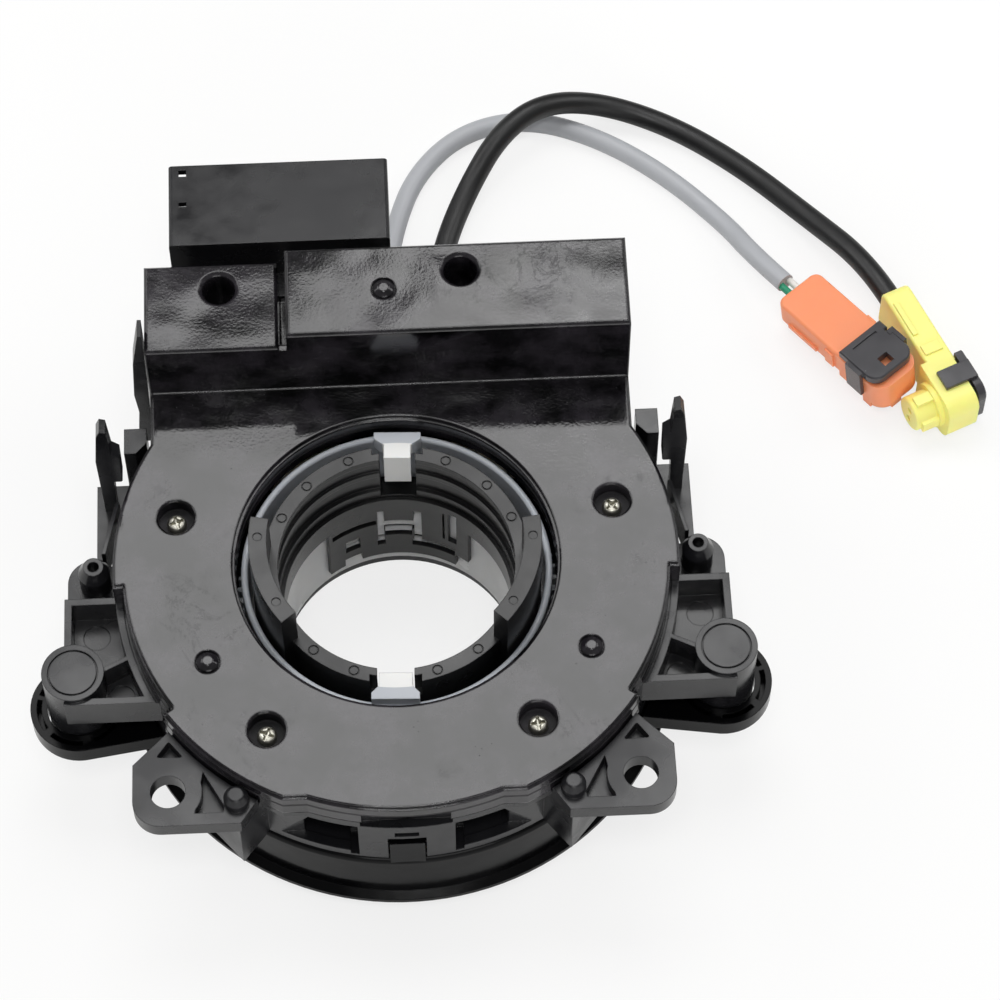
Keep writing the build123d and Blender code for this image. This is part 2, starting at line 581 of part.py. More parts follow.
def board_parts():
    top = BOARD_Z + BOARD_THICKNESS
    parts = [Pos(0, CHIP_Y, top) * Box(CHIP_SIDE, CHIP_SIDE, CHIP_HEIGHT, align=STANDING)]
    for step in (2, 3, 4):
        for side in (-1, 1):
            x = side * step * SMALL_PART_PITCH
            parts.append(Pos(x, CHIP_Y, top) * Box(*SMALL_PART, align=STANDING))
    parts.append(rod((-CHIP_SIDE, CHIP_Y - 7.5), CAPACITOR_R, top, top + CAPACITOR_HEIGHT))
    return parts


def socket_pins():
    back = SHROUD_FRONT + SOCKET_BACK
    middle = (SHROUD_FOOT + SHROUD_TOP) / 2
    pins = []
    middles = ((SHROUD_LEFT + SHROUD_DIVIDER) / 2, (SHROUD_DIVIDER + SHROUD_RIGHT) / 2)
    for centre, count in zip(middles, (6, 4)):
        for column in range(count):
            for row in (-1, 1):
                x = centre + (column - (count - 1) / 2) * PIN_PITCH
                z = middle + row * PIN_PITCH / 2
                half = PIN_SIDE / 2
                pins.append(block(x - half, x + half, back, back + PIN_REACH, z - half, z + half))
    return pins


# Toothed outline: straight root and tip, flanks through the base, pitch and tip points of an involute
def gear_face(teeth, play, flank_steps):
    pitch_r = MODULE * teeth / 2
    tip_r = pitch_r + MODULE
    root_r = pitch_r - 1.25 * MODULE
    base_r = pitch_r * math.cos(math.radians(20))
    low_r = max(root_r, base_r)

    def roll(radius):
        tilt = math.acos(min(1.0, base_r / radius))
        return math.degrees(math.tan(tilt) - tilt)

    def half_width(radius):
        return 90 / teeth - math.degrees(play / 2 / pitch_r) + roll(pitch_r) - roll(radius)

    radii = [low_r + (tip_r - low_r) * step / flank_steps for step in range(flank_steps + 1)]
    if root_r < low_r:
        radii.insert(0, root_r)
    points = []
    for tooth in range(teeth):
        middle = 360 * tooth / teeth
        points += [polar(radius, middle - half_width(max(radius, low_r))) for radius in radii]
        points += [polar(radius, middle + half_width(max(radius, low_r))) for radius in reversed(radii)]
    return polygon(*points)


# Driving key of the ring, along +X: a bar at the ring that narrows into the key
def ring_key(width, r_in):
    half = width / 2
    bar = KEY_BAR_WIDTH / 2
    face = polygon((r_in, -half), (RING_IN_R - 2.6, -half), (RING_IN_R - 1.1, -bar), (RING_IN_R + 0.3, -bar),
                   (RING_IN_R + 0.3, bar), (RING_IN_R - 1.1, bar), (RING_IN_R - 2.6, half), (r_in, half))
    low = INSERT_TOP + 5.6
    top = COVER_Z - 2.2
    upper = lift(face, top - 4.0, top)
    lower = block(r_in, RING_IN_R + 0.3, -half, half, low, top)
    inner = lower.edges().filter_by(Axis.Y).sort_by(Axis.X)[0:2]
    return fillet(inner, 0.6) + upper


def sensor_ring():
    low = SPLIT_Z + FLOOR + GAP + 1.3 + GAP
    collar_top = COVER_Z - 4.6
    teeth = lift(gear_face(RING_TEETH, 0.08, 1) - Circle(RING_IN_R), GEAR_Z, GEAR_Z + GEAR_WIDTH)
    root_r = RING_IN_R + RING_WALL
    body = teeth + ring(RING_IN_R, root_r, low, GEAR_Z + GEAR_WIDTH)
    collar = ring(RING_IN_R, RING_R, GEAR_Z + GEAR_WIDTH + 2 * GAP, collar_top)
    collar = fillet(collar.edges().group_by(Axis.Z)[-1], 0.48 * (RING_R - RING_IN_R))
    body += collar + ring(RING_IN_R, root_r, GEAR_Z + GEAR_WIDTH, GEAR_Z + GEAR_WIDTH + 4 * GAP)
    body += turned(ring_key(REAR_KEY_WIDTH, SLEEVE_BORE_R + 0.4), KEY_ANGLE + 90)
    body += turned(ring_key(FRONT_KEY_WIDTH, SLEEVE_BORE_R + 0.6), KEY_ANGLE - 90)
    return body


def mesh_turn(teeth, angle):
    step = 360 / RING_TEETH
    past_tooth = angle - step * round(angle / step)
    return angle + 180 + past_tooth * RING_TEETH / teeth + 180 / teeth


def pickup_gear(teeth, angle):
    spot = gear_spot(teeth, angle)
    top = GEAR_Z + GEAR_WIDTH
    body = lift(gear_face(teeth, 0.08, 2), GEAR_Z, top)
    body += rod((0, 0), MAGNET_R + 1.3, top, top + 0.5 + MAGNET_HEIGHT)
    body -= rod((0, 0), AXLE_R + AXLE_ROOM, GEAR_Z, top)
    body -= rod((0, 0), MAGNET_R + SLIP, top + 0.5, top + 0.5 + MAGNET_HEIGHT)
    return Pos(spot.X, spot.Y) * turned(body, mesh_turn(teeth, angle))


def gear_magnet(teeth, angle):
    spot = gear_spot(teeth, angle)
    low = GEAR_Z + GEAR_WIDTH + 0.5
    return rod((spot.X, spot.Y), MAGNET_R, low, low + MAGNET_HEIGHT)


# Column side of the rotor: a slotted sleeve with two raised driving fingers
def rotor_sleeve():
    top = COVER_Z - 2.0
    foot = HUB_LIP + 0.4
    step_z = SPLIT_Z + FLOOR + GAP
    step_top = step_z + 1.3
    # the bore is stepped: each band is given by its top and by how much wider it is than the bore
    bands = ((top, 0.0), (top - 1.6, 0.9), (top - 6.0, 0.3), (top - 7.6, 1.1), (INSERT_TOP + 3.0, 0.2),
             (INSERT_TOP + 0.2, 1.85), (foot, 0.0))
    inside = []
    for (high, wider), (low, _) in zip(bands, bands[1:]):
        inside += [(SLEEVE_BORE_R + wider, high), (SLEEVE_BORE_R + wider, low)]
    outside = [(SLEEVE_R, foot), (SLEEVE_R, step_z), (BORE_R + 0.2, step_z), (BORE_R + 0.2, step_top),
               (SLEEVE_R, step_top), (SLEEVE_R, top)]
    body = revolve(Plane.XZ * polygon(*inside, *outside), Axis.Z, 360)
    finger_top = COVER_Z + FINGER_RISE
    finger = lift(sector(FINGER_IN_R, FINGER_R, FINGER_START, FINGER_END), step_top, finger_top)
    body += both_sides(finger)
    # round ejector marks on the fingers and on the rim between them
    middle_r = (FINGER_IN_R + FINGER_R) / 2
    for angle in (FINGER_START + 9.0, FINGER_END - 9.0):
        mark = polar(middle_r, angle)
        body -= both_sides(rod((mark.X, mark.Y), 0.9, finger_top - 0.25, finger_top))
    rim_r = (SLEEVE_BORE_R + SLEEVE_R) / 2
    for angle in (24.0, 44.0, 67.0, -50.0, -71.0):
        mark = polar(rim_r, angle)
        body -= both_sides(ring(0.85, 1.05, top - 0.25, top).moved(Pos(mark.X, mark.Y)))
    body -= block(-KEY_SLOT / 2, KEY_SLOT / 2, -FINGER_R, FINGER_R, INSERT_TOP + 0.8, top)
    bar_slot = block(-KEY_BAR_SLOT / 2, KEY_BAR_SLOT / 2, -FINGER_R, FINGER_R, COVER_Z - 8.0, top)
    body -= bar_slot - rod((0, 0), SLEEVE_BORE_R + 1.6, SPLIT_Z, top)
    return turned(body, KEY_ANGLE)


# Translucent guide ring between the sleeve's skirt and the insert, open where the insert is open in depth
def guide_ring():
    body = ring(SLEEVE_BORE_R + 0.5, SLEEVE_BORE_R + 1.7, HUB_LIP + 0.2, INSERT_TOP)
    return body - both_halves(dark_windows())


# Castellated insert: a band with two skirts, each with an H-shaped window, slots and notches.
# The windows are given by their span in degrees and in height
SKIRT_FOOT = HUB_LIP + 3.8
BAND_FOOT = SPLIT_Z - 0.7


def window(start, end, low, high):
    return lift(sector(SLEEVE_BORE_R - 2, SLEEVE_BORE_R + 3, start, end), low, high)


def both_halves(shape):
    return shape + turned(shape, 180)


def dark_windows():
    foot = SKIRT_FOOT
    shape = window(83.9, 97.7, foot + 8.2, foot + 10.7)
    shape += window(60.5, 83.9, foot + 3.8, foot + 6.6)
    shape += window(97.7, 102.0, foot + 4.4, foot + 6.6)
    shape += window(102.2, 127.0, foot + 13.4, foot + 15.2)
    shape += window(111.0, 119.5, foot + 5.4, foot + 6.6)
    shape += window(66.2, 67.4, foot + 9.6, INSERT_TOP - 3.0)
    return turned(shape, KEY_ANGLE)


def light_windows():
    foot = SKIRT_FOOT
    shape = window(98.0, 101.6, foot + 6.6, foot + 18.8)
    shape += window(78.7, 82.9, foot + 6.4, foot + 18.4)
    shape += window(82.9, 98.0, foot + 10.7, foot + 14.4)
    shape += window(111.2, 119.3, foot + 6.6, foot + 9.7)
    shape += window(59.4, 64.2, foot + 9.4, INSERT_TOP - 2.0)
    return turned(shape, KEY_ANGLE)


def hub_insert():
    r_in = SLEEVE_BORE_R - 0.6
    r_out = SLEEVE_BORE_R + 0.4
    body = ring(r_in, r_out, BAND_FOOT, INSERT_TOP)
    skirt = lift(sector(r_in, r_out, 60.2, 129.2), SKIRT_FOOT, BAND_FOOT)
    skirt += lift(sector(r_in, r_out, 52.2, 60.2), SKIRT_FOOT + 4.4, BAND_FOOT)
    notch = lift(sector(r_in - 1, r_out + 1, 110.4, 120.2), SKIRT_FOOT, SKIRT_FOOT + 2.6)
    body += both_halves(turned(skirt - notch, KEY_ANGLE))
    return body - both_halves(light_windows() + dark_windows())


# Wheel side of the rotor: hub, disc, ribs, lead outlet, switch socket and drive bosses
SWITCH_SOCKET = (-14.0, 14.0, 4.0 - DISC_R, 15.0 - DISC_R)
DRIVE_BOSS_X = 42.0


def rotor_disc():
    hub_in = SLEEVE_R + 0.15
    top = DISC_Z + DISC_THICKNESS
    body = ring(hub_in, HUB_R, 0, SPLIT_Z + FLOOR) + ring(SLEEVE_BORE_R + 1.1, hub_in + 0.5, 0, HUB_LIP)
    body += ring(HUB_R - 1, DISC_R, DISC_Z, top)
    for step in range(12):
        rib = block(HUB_R - 1, DISC_R - 1.6, -THIN / 2, THIN / 2, DISC_Z - 2.0, DISC_Z + 0.5)
        if step not in (3, 9):
            body += turned(rib, 30 * step)
    body += ring(DISC_R - 2.4, DISC_R - 1.0, DISC_Z - 2.0, DISC_Z + 0.5)
    # lead outlet with one channel for each lead
    outlet = block(GREY_X - 5.0, BLACK_X + 4.5, HUB_R - 1, OUTLET_END_Y, 0, DISC_Z + 0.5)
    body += outlet - rod((0, 0), HUB_R - 1, 0, DISC_Z + 1)
    for x, size, lift_z in ((GREY_X, GREY_DIAMETER, GREY_LIFT), (BLACK_X, BLACK_DIAMETER, BLACK_LIFT)):
        width = size / 2 + SLIP
        body -= block(x - width, x + width, OUTLET_WALL_Y, OUTLET_END_Y, 0, lift_z)
        bore = Pos(x, OUTLET_WALL_Y, lift_z) * Rot(X=-90) * Cylinder(
            width, OUTLET_END_Y - OUTLET_WALL_Y + 2, align=STANDING)
        body -= bore
    # socket for the switches of the wheel
    x0, x1, y0, y1 = SWITCH_SOCKET
    body += block(x0, x1, y0, y1, 0, DISC_Z + 0.5)
    body -= block(x0 + THIN, x1 - THIN, y0 + THIN, y1 - THIN, 0, DISC_Z + 0.4)
    for side in (-1, 1):
        body += rod((side * DRIVE_BOSS_X, 0), 3.4, 0, DISC_Z + 0.5)
        body -= rod((side * DRIVE_BOSS_X, 0), 1.8, 0, DISC_Z)
    return body


def switch_pins():
    x0, x1, y0, y1 = SWITCH_SOCKET
    roof = DISC_Z + 0.4
    half = PIN_SIDE / 2
    pins = []
    for column in range(5):
        for row in (-1, 1):
            x = (x0 + x1) / 2 + (column - 2) * PIN_PITCH
            y = (y0 + y1) / 2 + row * 1.7
            pins.append(block(x - half, x + half, y - half, y + half, 1.2, roof))
    return pins


# Plug of an airbag circuit. Along X from the lead's end, with its snout down and its lock on top
def plug_body():
    head_end = PLUG_LENGTH + PLUG_HEAD
    half = PLUG_WIDTH / 2
    top = PLUG_THICKNESS
    tail = block(0, PLUG_LENGTH + 1, -half, half, 0, top)
    tail = fillet(tail.edges().filter_by(Axis.Z).sort_by(Axis.X)[:2], 2.0)
    tail = fillet(tail.edges().group_by(Axis.Z)[-1] + tail.edges().group_by(Axis.Z)[0], 0.7)
    head = block(PLUG_LENGTH - 1, head_end, -half, half, -PLUG_COLLAR, top - 0.4)
    head = fillet(head.edges().filter_by(Axis.Z).sort_by(Axis.X)[-2:], 3.4)
    body = tail + head
    # a rail and a catch along each side of the tail
    for side in (-1, 1):
        y = side * half
        body += block(4.0, 13.0, y - 0.5, y + 0.5, 0.8, 2.0)
        body += block(PLUG_LENGTH - 5.0, PLUG_LENGTH - 2.4, y - 0.5, y + 0.7, 0.8, top - 1.4)
    snout = rod((SNOUT_SPOT, 0), SNOUT_R, -SNOUT_LENGTH, 0)
    snout = fillet(snout.edges().group_by(Axis.Z)[0], 0.5)
    key_foot = 1.0 - SNOUT_LENGTH
    snout += block(SNOUT_SPOT, SNOUT_SPOT + SNOUT_R + 0.7, -1.4, 1.4, key_foot, 0)
    snout += block(SNOUT_SPOT - 1.2, SNOUT_SPOT + 1.2, -SNOUT_R - 0.7, SNOUT_R + 0.7, key_foot, 0)
    snout += rod((SNOUT_SPOT, 0), SNOUT_R + 1.2, -PLUG_COLLAR - 1.2, 0)
    body += snout
    for side in (-1, 1):
        body -= rod((SNOUT_SPOT, side * 1.5), 0.75, -SNOUT_LENGTH, -1.0)
        slot_y = side * (half - 1.9)
        width = PRONG / 2 + SLIP
        body -= block(SNOUT_SPOT - 1.9, SNOUT_SPOT + 1.9, slot_y - width, slot_y + width, 0.6, top)
    return body


# Push-in lock: a plate with a window, two prongs in the head and two arms that grip its sides
def plug_lock():
    half = PLUG_WIDTH / 2
    low = PLUG_THICKNESS + GAP
    high = low + LOCK_THICKNESS
    rear = PLUG_LENGTH - 0.4
    front = PLUG_LENGTH + 11.2
    plate = polygon((rear, -half), (rear, half), (front, half), (front, -half))
    plate = fillet(plate.vertices().sort_by(Axis.X)[-2:], 3.0)
    plate -= Pos(rear + 3.4, half) * Rectangle(1.8, 1.6)
    lock = lift(plate, low, high)
    lock = chamfer(lock.edges().group_by(Axis.Z)[-1], 0.3)
    lock -= block(front - 4.4, front - 1.8, -1.3, 1.3, low, high)
    lock -= block(rear + 1.6, rear + 2.1, 2.6 - half, half - 2.6, high - 0.4, high)
    for side in (-1, 1):
        y = side * (half - 1.9)
        lock += block(SNOUT_SPOT - 1.7, SNOUT_SPOT + 1.7, y - PRONG / 2, y + PRONG / 2, 1.0, low + 0.5)
        inner = half + SLIP
        outer = half + LOCK_ARM
        arm = block(SNOUT_SPOT - 3.4, SNOUT_SPOT + 1.2, inner, outer, 0.6, high - 0.4)
        arm += block(SNOUT_SPOT - 3.4, SNOUT_SPOT + 1.2, half - 1.0, outer, low, high - 0.4)
        lock += arm if side > 0 else mirror(arm, Plane.XZ)
    return lock


# A lead along a hand-chosen route: straight runs joined by the largest arcs that fit
GREY_ROUTE = ((0.0, 40.0, 2.3), (0.0, 56.0, 2.3), (-1.6, 74.0, 2.3), (-0.6, 92.0, 2.3), (2.2, 108.0, 2.3),
              (7.4, 122.0, 2.3), (18.0, 132.8, 2.3), (33.0, 136.2, 2.3), (48.5, 130.6, 2.3), (63.5, 119.6, 2.3),
              (76.6, 105.2, 2.4))
BLACK_ROUTE = ((10.0, 40.0, 2.6), (10.0, 56.0, 2.6), (9.4, 72.0, 2.6), (10.2, 88.0, 2.6), (13.2, 103.0, 2.6),
               (19.0, 117.0, 3.4), (26.6, 127.4, 9.4), (36.6, 134.6, 10.6), (50.0, 137.6, 5.4), (66.0, 132.4, 2.6),
               (81.0, 120.8, 2.6), (94.4, 106.6, 3.2))


def lead(name, route, diameter, place, gap):
    points = [Vector(*point) for point in route]
    points += [plug_mouth(place, -gap - 11.0, 0.0), plug_mouth(place, -gap, 0.0)]
    radii = []
    for before, corner, after in zip(points, points[1:], points[2:]):
        arriving = corner - before
        leaving = after - corner
        run = min(arriving.length, leaving.length)
        half_turn = math.radians(arriving.get_angle(leaving)) / 2
        radii.append(0.45 * run / math.tan(half_turn))
    path = FilletPolyline(*points, radius=radii)
    section = Plane(origin=points[0], z_dir=points[1] - points[0]) * Circle(diameter / 2)
    tube = sweep(section, path)
    print(name, "length", round(path.length, 1), "radii", [round(radius) for radius in radii],
          "volume over section times length", round(tube.volume / (section.area * path.length), 5))
    return tube


def plug_mouth(place, x, y):
    return (place * Pos(x, y, PLUG_THICKNESS / 2)).position


# One of the two wires that show between the grey sheath and its plug
def plug_wire(y):
    wire = Rot(Y=90) * Cylinder(WIRE_R, WIRE_SHOW, align=STANDING)
    return ORANGE_PLACE * Pos(-WIRE_SHOW, y, PLUG_THICKNESS / 2) * wire


nodes = {
    "stator_housing": stator_housing(),
    "lower_case": lower_case(),
    "sensor_cover": sensor_cover(),
    "cover_screws": cover_screws(),
    "sensor_board": sensor_board(),
    "hall_sensors": hall_sensors(),
    "board_parts": board_parts(),
    "socket_pins": socket_pins(),
    "flat_cable": flat_cable(),
    "rotor_disc": rotor_disc(),
    "rotor_sleeve": rotor_sleeve(),
    "sensor_ring": sensor_ring(),
    "guide_ring": guide_ring(),
    "hub_insert": hub_insert(),
    "switch_pins": switch_pins(),
    "pickup_gear_a": pickup_gear(GEAR_A_TEETH, GEAR_A_ANGLE),
    "pickup_gear_b": pickup_gear(GEAR_B_TEETH, GEAR_B_ANGLE),
    "gear_magnet_a": gear_magnet(GEAR_A_TEETH, GEAR_A_ANGLE),
    "gear_magnet_b": gear_magnet(GEAR_B_TEETH, GEAR_B_ANGLE),
    "grey_lead": lead("grey_lead", GREY_ROUTE, GREY_DIAMETER, ORANGE_PLACE, WIRE_SHOW),
    "black_lead": lead("black_lead", BLACK_ROUTE, BLACK_DIAMETER, YELLOW_PLACE, 0.0),
    "green_wire": plug_wire(-1.1),
    "white_wire": plug_wire(1.1),
    "orange_plug": ORANGE_PLACE * plug_body(),
    "orange_lock": ORANGE_PLACE * plug_lock(),
    "yellow_plug": YELLOW_PLACE * plug_body(),
    "yellow_lock": YELLOW_PLACE * plug_lock(),
}

os.makedirs("parts", exist_ok=True)
for name, shape in nodes.items():
    if isinstance(shape, list):
        shape = Compound(shape)
    export_step(shape, f"parts/{name}.step")
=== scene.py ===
import math

import bpy
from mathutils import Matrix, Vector


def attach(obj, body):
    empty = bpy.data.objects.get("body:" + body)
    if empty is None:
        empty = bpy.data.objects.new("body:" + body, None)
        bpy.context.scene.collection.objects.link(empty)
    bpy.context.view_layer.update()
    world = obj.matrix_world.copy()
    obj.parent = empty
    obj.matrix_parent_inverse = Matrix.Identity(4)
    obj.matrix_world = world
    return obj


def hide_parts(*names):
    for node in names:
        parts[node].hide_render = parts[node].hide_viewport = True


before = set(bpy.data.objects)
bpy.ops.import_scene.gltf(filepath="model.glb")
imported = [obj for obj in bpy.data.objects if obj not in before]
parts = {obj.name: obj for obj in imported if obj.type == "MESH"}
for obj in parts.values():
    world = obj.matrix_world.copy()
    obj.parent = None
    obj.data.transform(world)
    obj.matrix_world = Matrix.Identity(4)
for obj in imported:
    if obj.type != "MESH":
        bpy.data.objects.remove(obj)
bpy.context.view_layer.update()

# The camera stands at the photograph's place: 0.74 m above the table and a little to the front,
# looking down at 61 degrees. Its long lens keeps the part nearly free of perspective.
CAMERA_PLACE = Vector((0.003858, -0.36743, 0.73963))
CAMERA_LOOK = Vector((0.022257, 0.481130, -0.876367))
LENS_MM = 140.5
camera = bpy.data.objects.new("camera", bpy.data.cameras.new("camera"))
camera.data.lens = LENS_MM
camera.data.sensor_width = 36.0
camera.data.clip_start = 0.01
camera.location = CAMERA_PLACE
camera.rotation_euler = CAMERA_LOOK.to_track_quat("-Z", "Y").to_euler()
bpy.context.scene.collection.objects.link(camera)
bpy.context.scene.camera = camera
bpy.context.scene.view_settings.view_transform = "Standard"


# The table is a wide sheet of white paper, matt and even. The part lies on it with its wheel side
# down. The lens sees the sheet partly as a lit white, so that the part's shadow on it stays soft.
def linear(colour):
    """sRGB hex to linear red, green, blue and alpha."""
    values = [int(colour[i:i + 2], 16) / 255 for i in (1, 3, 5)]
    return [v / 12.92 if v <= 0.04045 else ((v + 0.055) / 1.055) ** 2.4 for v in values] + [1.0]


def add(tree, kind, links=None, **settings):
    """Adds one shader node. A value in links is a socket to join or a plain value."""
    made = tree.nodes.new("ShaderNode" + kind)
    for key, value in settings.items():
        setattr(made, key, value)
    for key, value in (links or {}).items():
        if isinstance(value, bpy.types.NodeSocket):
            tree.links.new(value, made.inputs[key])
        else:
            made.inputs[key].default_value = value
    return made


def blank(name):
    """A new material with an empty node tree."""
    material = bpy.data.materials.new(name)
    material.use_nodes = True
    material.node_tree.nodes.clear()
    return material, material.node_tree


PAPER = "#fbfbfa"
PAPER_GLOW = 0.75
PAPER_MIRRORED = 0.3
TABLE_SIZE = 4.0
half = TABLE_SIZE / 2
corners = [(-half, -half, 0), (half, -half, 0), (half, half, 0), (-half, half, 0)]
table_mesh = bpy.data.meshes.new("table")
table_mesh.from_pydata(corners, [], [(0, 1, 2, 3)])
table = bpy.data.objects.new("table", table_mesh)
bpy.context.scene.collection.objects.link(table)
paper, tree = blank("white_paper")
path = add(tree, "LightPath")
mirrored = add(tree, "Math", {0: path.outputs["Is Glossy Ray"], 1: PAPER_MIRRORED}, operation="MULTIPLY")
direct = add(tree, "Math", {0: path.outputs["Is Camera Ray"], 1: path.outputs["Is Transmission Ray"]},
             operation="MAXIMUM")
seen = add(tree, "Math", {0: direct.outputs[0], 1: mirrored.outputs[0]}, operation="MAXIMUM")
share = add(tree, "Math", {0: seen.outputs[0], 1: PAPER_GLOW}, operation="MULTIPLY")
lit = add(tree, "BsdfDiffuse", {"Color": linear(PAPER), "Roughness": 1.0})
white = add(tree, "Emission", {"Color": linear("#ffffff"), "Strength": 1.0})
sheet = add(tree, "MixShader", {0: share.outputs[0], 1: lit.outputs[0], 2: white.outputs[0]})
add(tree, "OutputMaterial", {"Surface": sheet.outputs[0]})
table.data.materials.append(paper)

# Soft boxes stand round the table in a dim white room. The gloss of the top faces mirrors the first
# two, the side ones light the matt parts and the paper, the one over the camera draws thin lines on
# the edges, and the front one lights the upright faces. Place and sizes are in metres.
ROOM = "#ffffff"
ROOM_LIGHT = 0.25
PART_MIDDLE = Vector((0.0, 0.0, 0.04))
SOFT_BOXES = (
    ("soft_box_mirrored", (0.0, 0.4, 1.06), 0.62, 0.44, 4.6),
    ("soft_box_behind", (0.12, 0.675, 1.06), 0.27, 0.08, 5.0),
    ("soft_box_left", (-0.95, 0.5, 0.9), 0.7, 0.7, 3.0),
    ("soft_box_right", (1.0, 0.45, 0.9), 0.7, 0.7, 2.8),
    ("soft_box_over", (0.0, -0.45, 1.25), 0.35, 0.2, 16.0),
    ("soft_box_front", (0.15, -1.3, 0.45), 1.0, 0.45, 3.6),
)
world = bpy.data.worlds.new("white_room")
world.use_nodes = True
tree = world.node_tree
tree.nodes.clear()
sky = add(tree, "Background", {"Color": linear(ROOM), "Strength": ROOM_LIGHT})
add(tree, "OutputWorld", {"Surface": sky.outputs[0]})
bpy.context.scene.world = world
for name, place, width, depth, brightness in SOFT_BOXES:
    lamp = bpy.data.objects.new(name, bpy.data.lights.new(name, "AREA"))
    lamp.data.shape = "RECTANGLE"
    lamp.data.size = width
    lamp.data.size_y = depth
    lamp.data.energy = brightness * math.pi * width * depth
    lamp.location = place
    lamp.rotation_euler = (PART_MIDDLE - lamp.location).to_track_quat("-Z", "Y").to_euler()
    bpy.context.scene.collection.objects.link(lamp)


# The leads are pairs of wires in round vinyl sheaths, grey and black. They leave the rotor's wheel
# side, pass under the case, bend round on the table and end in their plugs.
def sheathed_lead(name, route, diameter):
    """A round lead along given points, in millimetres, as one smooth open spline."""
    curve = bpy.data.curves.new(name, "CURVE")
    curve.dimensions = "3D"
    curve.resolution_u = 16
    curve.bevel_depth = diameter / 2000
    curve.bevel_resolution = 8
    curve.use_fill_caps = True
    spline = curve.splines.new("NURBS")
    spline.points.add(len(route) - 1)
    for point, (x, y, z) in zip(spline.points, route):
        point.co = (x / 1000, y / 1000, z / 1000, 1)
    spline.order_u = 3
    spline.use_endpoint_u = True
    lead = bpy.data.objects.new(name, curve)
    bpy.context.scene.collection.objects.link(lead)
    return lead


# Vinyl drawn through a die is smooth, with a soft wide gloss. The twisted wires inside press faint
# waves into it, and handling leaves dull patches.
def drawn_vinyl(name, colour, roughness):
    """A drawn vinyl sheath or wire coat in one colour."""
    wave_mm = 4.5
    wave_depth_mm = 0.12
    patch_mm = 16.0
    material, tree = blank(name)
    place = add(tree, "TexCoord").outputs["Object"]
    waves = add(tree, "TexNoise", {"Vector": place, "Scale": 1000 / wave_mm, "Detail": 3.0})
    bump = add(tree, "Bump", {"Height": waves.outputs["Fac"], "Strength": 1.0,
                              "Distance": wave_depth_mm / 1000})
    haze = add(tree, "TexNoise", {"Vector": place, "Scale": 1000 / patch_mm, "Detail": 3.0})
    dull = add(tree, "MapRange", {"Value": haze.outputs["Fac"], "From Min": 0.35, "From Max": 0.65,
                                  "To Min": roughness - 0.06, "To Max": roughness + 0.08})
    dust = add(tree, "MixRGB", {"Fac": haze.outputs["Fac"], "Color1": linear(colour),
                                "Color2": [1.12 * c + 0.002 for c in linear(colour)[:3]] + [1.0]})
    skin = add(tree, "BsdfPrincipled", {"Base Color": dust.outputs[0], "Roughness": dull.outputs[0],
                                       "IOR": 1.52, "Normal": bump.outputs[0]})
    add(tree, "OutputMaterial", {"Surface": skin.outputs[0]})
    return material


GREY_ROUTE = (
    (0.0, 40.0, 2.3), (0.0, 56.0, 2.3), (-1.6, 74.0, 2.3), (-0.6, 92.0, 2.3), (2.2, 108.0, 2.3),
    (7.4, 122.0, 2.3), (18.0, 132.8, 2.3), (33.0, 136.2, 2.3), (48.5, 130.6, 2.3),
    (63.5, 119.6, 2.3), (76.6, 105.2, 2.4), (81.37, 95.0, 6.04), (87.91, 86.26, 7.38),
)
BLACK_ROUTE = (
    (10.0, 40.0, 2.6), (10.0, 56.0, 2.6), (9.4, 72.0, 2.6), (10.2, 88.0, 2.6), (13.2, 103.0, 2.6),
    (19.0, 117.0, 3.4), (26.6, 127.4, 9.4), (36.6, 134.6, 10.6), (50.0, 137.6, 5.4),
    (66.0, 132.4, 2.6), (81.0, 120.8, 2.6), (94.4, 106.6, 3.2), (106.55, 90.76, 7.3),
    (110.93, 80.68, 7.3),
)
GREY_DIAMETER = 4.4
BLACK_DIAMETER = 5.0
grey_sheath = sheathed_lead("grey_sheath", GREY_ROUTE, GREY_DIAMETER)
black_sheath = sheathed_lead("black_sheath", BLACK_ROUTE, BLACK_DIAMETER)
grey_sheath.data.materials.append(drawn_vinyl("grey_vinyl_drawn", "#acaeb2", 0.42))
black_sheath.data.materials.append(drawn_vinyl("black_vinyl_drawn", "#070708", 0.46))
for lead, solid in ((grey_sheath, "grey_lead"), (black_sheath, "black_lead")):
    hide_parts(solid)
    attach(lead, "rotor")


# The sensor cover is black ABS, moulded in a polished mould and held by four screws. It is glossy,
# with faint sink marks that are deeper on the thick blocks, a fine orange peel, and wipe marks and
# dust from handling. The floors of its screw wells are spark-eroded, and so matt.
def finish(material, *names):
    """Gives the carried-over pieces their material."""
    for name in names:
        mesh = parts[name].data
        mesh.materials.clear()
        mesh.materials.append(material)


COVER_BLACK = "#040405"
COVER_BLOOM = "#2f2c31"
SPECK_GREY = "#3a3a3c"
PLATE_TOP = 0.048
BLOCK_RISE = 0.01
WELL_FLOOR = 0.0445
WELL_FLOOR_BAND = 0.0004
WELL_ROUGHNESS = (0.7, 0.7, 0.7, 1.0)
SPECK_ROUGHNESS = (0.6, 0.6, 0.6, 1.0)
EDGE_MM = 0.6
SINK_MM = 15.0
PLATE_SINK_DEPTH_MM = 0.16
BLOCK_SINK_DEPTH_MM = 0.4
PEEL_MM = 0.55
PEEL_DEPTH_MM = 0.011
WIPE_MM = 22.0
SMEAR_MM = 15.0
BLOOM_MM = 12.0
SPECK_MM = 1.6
SPECK_PATCH_MM = 9.0
gloss_abs, tree = blank("black_abs_polished_mould")
place = add(tree, "TexCoord").outputs["Object"]
height = add(tree, "SeparateXYZ", {"Vector": place})

